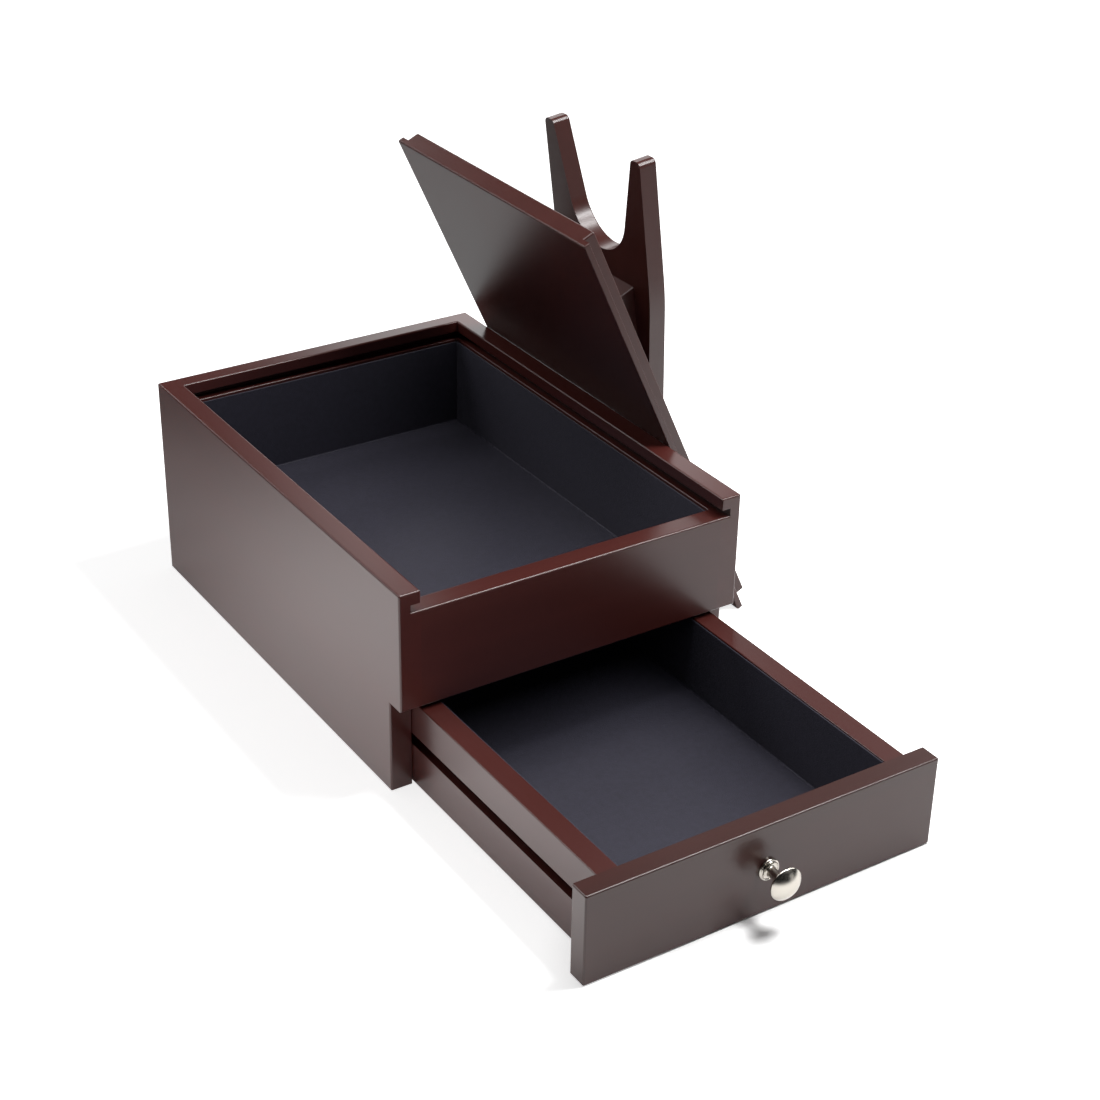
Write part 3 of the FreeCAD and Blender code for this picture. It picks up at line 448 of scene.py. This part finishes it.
def make_wall_lining(node, body, middle):
    """A wall card in its node's place. The section stands on the wood and faces the middle of
    the box. The top edge sags by a hair, as glued card does: sag = s sin^2(pi t) h^8 at the
    share t of the card's length and the share h of its height."""
    low, high = [np.array(corner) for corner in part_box(node)]
    across = int(np.argmin(high - low))
    along = 1 - across
    inward = -1.0 if low[across] + high[across] > 2.0 * middle[across] else 1.0
    wood = high[across] if inward < 0 else low[across]
    section = lining_section(high[across] - low[across], high[2] - low[2])
    station = np.linspace(0.0, 1.0, CARD_STATIONS)
    sag = CARD_SAG * np.sin(math.pi * station) ** 2
    points = np.zeros((CARD_STATIONS, len(section), 3))
    points[..., along] = (low[along] + station * (high[along] - low[along]))[:, None]
    points[..., across] = wood + inward * section[None, :, 0]
    share = section[None, :, 1] / (high[2] - low[2])
    points[..., 2] = low[2] + section[None, :, 1] - sag[:, None] * share ** SAG_POWER
    return make_piece(node + "_cloth", points, body, lining, [node])


wall_linings = []
for body, prefix in (("case", "tray"), ("drawer", "drawer")):
    low, high = [np.array(corner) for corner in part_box(prefix + "_lining_floor")]
    for side in ("left", "right", "front", "back"):
        wall_linings.append(
            make_wall_lining(f"{prefix}_lining_{side}", body, (low + high) / 2.0))
print("wall linings:", len(wall_linings))

# %% [markdown]
# The knob and its rose are turned on a lathe, so each is a profile carried round an axis.
# The knob's neck grows out of the rose in a cove, flares under the head, and the head is a
# low dome that runs into a rounded rim. The rose is a plate with a rounded rim, a shallow
# hollow and a raised ring. Lengths are in millimetres times MM; the plain numbers FLARE_LIFT,
# UNDER_RIM_IN, UNDER_RIM_DOWN and HOLLOW_IN count radii of the flare, the rim and the lip.

# %% Knob and rose
KNOB_SIDES = 128
NECK_RADIUS = 3.1 * MM
FOOT_RADIUS, FOOT_SUNK = 1.5 * MM, 0.2 * MM
FLARE_RADIUS, FLARE_LIFT, FLARE_END = 3.4 * MM, 0.55, 128.0
TOP_TO_UNDERSIDE, TOP_TO_RIM = 8.9 * MM, 5.5 * MM
RIM_RADIUS, RIM_START = 1.4 * MM, -75.0
UNDER_RIM_IN, UNDER_RIM_DOWN = 1.9, 1.15
ROSE_LIP, ROSE_LIP_DROP, ROSE_FOOT_IN = 1.0 * MM, 0.35 * MM, 0.15 * MM
HOLLOW_IN, HOLLOW_LIFT, HOLLOW_RADIUS = 2.6, 0.9 * MM, 1.35 * MM
HOLLOW_START, HOLLOW_END = 330.0, 215.0
RING_RADIUS = 2.0 * MM


def set_on_front(points):
    """Turns a lathe piece so that its height axis points out of the drawer's front."""
    low, high = [np.array(corner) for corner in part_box("knob")]
    level = (low[2] + high[2]) / 2.0
    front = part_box("knob_rose")[1][1]
    return np.stack([points[..., 0], front - points[..., 2], level + points[..., 1]], axis=2)


def half_width(node):
    return (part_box(node)[1][0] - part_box(node)[0][0]) / 2.0


def knob_profile():
    """The neck with a cove at its foot and a flare under the head, then the rim's round and
    the dome. The dome's circle, centred on the axis, touches the rim's: with the rim's centre
    at a distance a from the axis, its radius r, and the dome's rise h over the rim's centre,
    the dome's radius is (a^2 + h^2 - r^2) / (2 (h - r))."""
    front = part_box("knob_rose")[1][1]
    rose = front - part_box("knob_rose")[0][1]
    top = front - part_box("knob")[0][1]
    head, rim, flare = half_width("knob"), RIM_RADIUS, FLARE_RADIUS
    under = top - TOP_TO_UNDERSIDE
    rim_level = top - TOP_TO_RIM
    dome_rise = top - rim_level
    dome_radius = ((head - rim) ** 2 + dome_rise ** 2 - rim ** 2) / (2.0 * (dome_rise - rim))
    centre = top - dome_radius
    meet = math.degrees(math.atan2(rim_level - centre, head - rim))
    foot_reach = NECK_RADIUS + FOOT_RADIUS
    return np.vstack([
        [(0.0, rose - FOOT_SUNK), (foot_reach, rose - FOOT_SUNK)],
        arc((foot_reach, rose + FOOT_RADIUS), FOOT_RADIUS, 270.0, 180.0, count=10),
        arc((NECK_RADIUS + flare, under - flare * FLARE_LIFT), flare, 180.0, FLARE_END, count=12),
        [(head - rim * UNDER_RIM_IN, rim_level - rim * UNDER_RIM_DOWN)],
        arc((head - rim, rim_level), rim, RIM_START, meet, count=16),
        arc((0.0, centre), dome_radius, meet, 90.0, count=40)[1:],
    ])


def rose_profile():
    """A low plate: a rounded rim, a shallow hollow, and a raised ring round the neck."""
    wide = half_width("knob_rose")
    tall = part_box("knob_rose")[1][1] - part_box("knob_rose")[0][1]
    return np.vstack([
        [(0.0, 0.0), (wide - ROSE_FOOT_IN, 0.0)],
        arc((wide - ROSE_LIP, tall - ROSE_LIP - ROSE_LIP_DROP), ROSE_LIP, 0.0, 90.0, count=12),
        arc((wide - HOLLOW_IN * ROSE_LIP, tall + HOLLOW_LIFT), HOLLOW_RADIUS, HOLLOW_START,
            HOLLOW_END, count=10),
        [(RING_RADIUS, tall), (0.0, tall)],
    ])


make_piece("knob_turned", set_on_front(turned(knob_profile(), KNOB_SIDES)), "drawer",
           nickel, ["knob"], capped=False)
make_piece("knob_rose_turned", set_on_front(turned(rose_profile(), KNOB_SIDES)), "drawer",
           nickel, ["knob_rose"], capped=False)
print("knob and rose turned with", KNOB_SIDES, "sides")

# %% [markdown]
# The studio has two floors in one place. The camera sees a clean white one, with only faint
# shadows, as in a catalogue picture whose ground has been cleaned up: it glows a little by
# itself, least round the knob, whose shadow shows. What the lacquer mirrors is a table sheet
# with painted light on it: a painted pool of light, white close round the box and falling off
# to grey towards the dark room, which gives the tall walls their run from dark to light, and
# two dark ovals of painted shade. Each sheet is hidden from the rays that belong to the other.
# Every patch on a floor is an oval, with a centre and the half lengths of its two axes.

# %% Two floors
FLOOR_HALF = 6.0
FLOOR_WHITE, FLOOR_ROUGH = 0.90, 0.8
FLOOR_GLOW, KNOB_FLOOR_GLOW = 0.78, 0.0
KNOB_FLOOR_CENTRE, KNOB_FLOOR_HALF = (0.03, -0.43, 0.0), (0.15, 0.12, 1.0)
FAR_CENTRE, FAR_HALF = (0.0, 0.0, 0.0), (1.0, 1.0, 1.0)
TABLE_DROP = 0.001
# Painted light on the mirrored table: a white pool round the box that falls off to grey, and dark
# ovals of painted shade.
PAINTED_POOL_WHITE, PAINTED_FALLOFF_GREY, PAINTED_SHADE_DARK = 0.88, 0.36, 0.12
PAINTED_POOL_CENTRE, PAINTED_POOL_HALF = (-0.14, -0.25, 0.0), (0.62, 0.42, 1.0)
PAINTED_SHADE_OVALS = {"behind_left": ((-0.42, 0.56, 0.0), (0.30, 0.24, 1.0)),
        "front_right": ((1.15, -1.45, 0.0), (0.50, 0.55, 1.0))}
BOUNCE_CENTRE, BOUNCE_HALF = (-0.38, -0.10, 0.0), (0.30, 0.36, 1.0)
BOUNCE_COLOUR, BOUNCE_GLOW = (1.0, 0.96, 0.95, 1.0), 0.75
FADE_START, FADE_END = 0.65, 1.35


def make_sheet(name, height, material):
    mesh = bpy.data.meshes.new(name)
    half = FLOOR_HALF
    mesh.from_pydata([(-half, -half, height), (half, -half, height), (half, half, height),
                      (-half, half, height)], [], [(0, 1, 2, 3)])
    mesh.materials.append(material)
    sheet = bpy.data.objects.new(name, mesh)
    bpy.context.scene.collection.objects.link(sheet)
    return sheet


def oval(tree, coordinates, centre, half):
    """0 inside an oval on the floor and 1 outside: the distance from its centre is measured in
    its own half lengths, and fades smoothly between the start and the end."""
    away = add(tree, "ShaderNodeVectorMath", {0: coordinates, 1: centre}, operation="SUBTRACT")
    scaled = add(tree, "ShaderNodeVectorMath", {0: away.outputs["Vector"], 1: half},
                 operation="DIVIDE")
    distance = add(tree, "ShaderNodeVectorMath", {0: scaled.outputs["Vector"]},
                   operation="LENGTH")
    return add(tree, "ShaderNodeMapRange", {
        "Value": distance.outputs["Value"], "From Min": FADE_START, "From Max": FADE_END},
        interpolation_type="SMOOTHSTEP").outputs["Result"]


def between(tree, amount, low, high):
    """The number low where the amount is 0 and high where it is 1."""
    return add(tree, "ShaderNodeMapRange", {
        "Value": amount, "To Min": low, "To Max": high}).outputs["Result"]


def make_seen_floor():
    """White, with a light of its own that leaves its shadows faint. It is weakest near the knob
    and full outwards, where the floor runs into the white background without a line."""
    material, tree, shader = start_material("white_floor")
    coordinates = object_coordinates(tree)
    near_knob = oval(tree, coordinates, KNOB_FLOOR_CENTRE, KNOB_FLOOR_HALF)
    outwards = oval(tree, coordinates, FAR_CENTRE, FAR_HALF)
    glow = add(tree, "ShaderNodeMath", {
        0: between(tree, near_knob, KNOB_FLOOR_GLOW, FLOOR_GLOW), 1: outwards},
        operation="MAXIMUM")
    set_inputs(tree, shader, {
        "Base Color": grey(FLOOR_WHITE), "Roughness": FLOOR_ROUGH, "Specular IOR Level": 0.0,
        "Emission Color": grey(1.0), "Emission Strength": glow.outputs["Value"]})
    sheet = make_sheet("white_floor", 0.0, material)
    sheet.visible_glossy = False
    sheet.visible_diffuse = False
    sheet.visible_shadow = False
    return sheet


def make_mirrored_table():
    """A painted pool of light, white round the box and falling off to grey, with two dark ovals
    of painted shade, one behind on the left and one in front on the right. On the left the
    sheet has a painted glow for the light that the paper throws back."""
    material, tree, shader = start_material("table_sheet")
    coordinates = object_coordinates(tree)
    tone = blend_colours(tree, oval(tree, coordinates, PAINTED_POOL_CENTRE, PAINTED_POOL_HALF),
                         grey(PAINTED_POOL_WHITE), grey(PAINTED_FALLOFF_GREY))
    # Each dark oval is painted shade on the sheet.
    for centre, half in PAINTED_SHADE_OVALS.values():
        tone = add(tree, "ShaderNodeMix", {
            "Factor": oval(tree, coordinates, centre, half), "A": grey(PAINTED_SHADE_DARK), "B": tone},
            data_type="RGBA").outputs["Result"]
    # A painted glow on the left stands in for the light that the paper throws back.
    bounce = between(tree, oval(tree, coordinates, BOUNCE_CENTRE, BOUNCE_HALF), BOUNCE_GLOW, 0.0)
    set_inputs(tree, shader, {
        "Base Color": tone, "Roughness": FLOOR_ROUGH, "Specular IOR Level": 0.0,
        "Emission Color": BOUNCE_COLOUR, "Emission Strength": bounce})
    sheet = make_sheet("table_sheet", -TABLE_DROP, material)
    sheet.visible_camera = False
    return sheet


white_floor = make_seen_floor()
make_mirrored_table()

# %% [markdown]
# Soft boxes light it in two groups. Some hang overhead, and the key light among them throws
# the knob's shadow on the drawer's front. The others stand in a ring behind and to the right,
# where the level edges and the leaning lid mirror them, with a dim one in front on the right
# for the fork's inner edge. The camera doesn't see the boxes themselves. Light linking says
# which things a lamp lights. The white floor has two lamps of its own, a small one for the
# knob's shadow on it and a wide one that shades it softly along the walls, and the box's
# lamps leave it alone. The small lamps that give the edges their thin highlights leave the
# linings to one wide lamp, so that the light fades softly into the drawer. A little light
# comes from all round, for the grooves.

# %% Soft boxes
# Overhead: place x and y, side, power. Standing: azimuth from +Y towards +X, height, power.
OVERHEAD_HEIGHT = 1.5
OVERHEADS = {"over_the_middle": (0.0, 0.0, 0.8, 11.5), "key": (0.49, -0.45, 0.45, 17.0),
             "over_front_right": (1.0, -1.0, 0.35, 25.5),
             "over_rear_left": (-1.0, 1.0, 0.8, 17.1)}
EDGE_LAMPS = ("key", "over_front_right")
LINING_LAMPS = {"over_the_linings": (0.75, -0.75, 1.8, 41.0)}
FLOOR_LAMPS = {"knob_shadow": (0.66, -0.45, 0.5, 42.0), "floor_fill": (0.0, 0.0, 2.5, 7.0)}
STANDING_SIZE, STANDING_AWAY = (0.75, 0.85), 2.4
STANDINGS = {"behind_left": (-45.0, 1.1, 5.7), "behind_left_high": (-20.0, 1.9, 2.75),
             "behind": (0.0, 1.1, 7.65), "window": (34.0, 1.1, 5.25),
             "window_high": (34.0, 1.9, 0.9), "right_behind": (58.0, 1.1, 2.0),
             "right_behind_high": (66.0, 1.9, 4.2), "right": (90.0, 1.1, 11.0),
             "right_high": (90.0, 1.9, 12.1), "front_right_low": (146.0, 0.35, 1.2)}
AIM_HEIGHT = 0.1
BACKDROP_WHITE, ROOM_GLOW = 1.0, 0.07


def make_soft_box(name, place, target, size, power):
    data = bpy.data.lights.new(name, "AREA")
    data.shape = "RECTANGLE"
    data.size, data.size_y = size
    data.energy = power
    light = bpy.data.objects.new(name, data)
    direction = Vector(target) - Vector(place)
    light.rotation_euler = direction.to_track_quat("-Z", "Y").to_euler()
    light.location = place
    light.visible_camera = False
    bpy.context.scene.collection.objects.link(light)
    return light


def hang_soft_box(name, x, y, side, power):
    return make_soft_box(name, (x, y, OVERHEAD_HEIGHT), (x, y, 0.0), (side, side), power)


def stand_soft_box(name, azimuth, height, power):
    angle = math.radians(azimuth)
    place = (STANDING_AWAY * math.sin(angle), STANDING_AWAY * math.cos(angle), height)
    return make_soft_box(name, place, (0.0, 0.0, AIM_HEIGHT), STANDING_SIZE, power)


def make_backdrop():
    """A background that the camera sees white. It gives the box a little light from all round,
    but the lacquer mirrors a dark room."""
    world = bpy.data.worlds.new("backdrop")
    world.use_nodes = True
    tree = world.node_tree
    seen = add(tree, "ShaderNodeLightPath").outputs["Is Camera Ray"]
    set_inputs(tree, tree.nodes["Background"], {
        "Color": grey(1.0), "Strength": between(tree, seen, ROOM_GLOW, BACKDROP_WHITE)})
    for ray in ("glossy", "transmission", "scatter"):
        setattr(world.cycles_visibility, ray, False)
    bpy.context.scene.world = world


def link_list(name, things, state):
    """A light-linking list of things to take in (INCLUDE) or to leave out (EXCLUDE)."""
    linked = bpy.data.collections.new(name)
    for thing in things:
        linked.objects.link(thing)
    for entry in linked.collection_objects:
        entry.light_linking.link_state = state
    return linked


lamps = [hang_soft_box(name, *values) for name, values in OVERHEADS.items()]
lamps += [stand_soft_box(name, *values) for name, values in STANDINGS.items()]
linings = [thing for thing in bpy.data.objects
           if thing.type == "MESH" and lining.name in thing.data.materials]
all_but_floor = link_list("all_but_the_white_floor", [white_floor], "EXCLUDE")
only_wood_and_metal = link_list("only_wood_and_metal", [white_floor] + linings, "EXCLUDE")
for lamp in lamps:
    for_edges = lamp.name in EDGE_LAMPS
    lamp.light_linking.receiver_collection = only_wood_and_metal if for_edges else all_but_floor
for name, things, own_lamps in (("only_the_white_floor", [white_floor], FLOOR_LAMPS),
                                ("only_the_linings", linings, LINING_LAMPS)):
    receivers = link_list(name, things, "INCLUDE")
    for lamp_name, values in own_lamps.items():
        hang_soft_box(lamp_name, *values).light_linking.receiver_collection = receivers
make_backdrop()
bpy.context.scene.view_settings.view_transform = "Standard"
print("soft boxes:", len(lamps), "and", len(FLOOR_LAMPS), "for the floor alone,",
      len(LINING_LAMPS), "for the", len(linings), "linings alone")
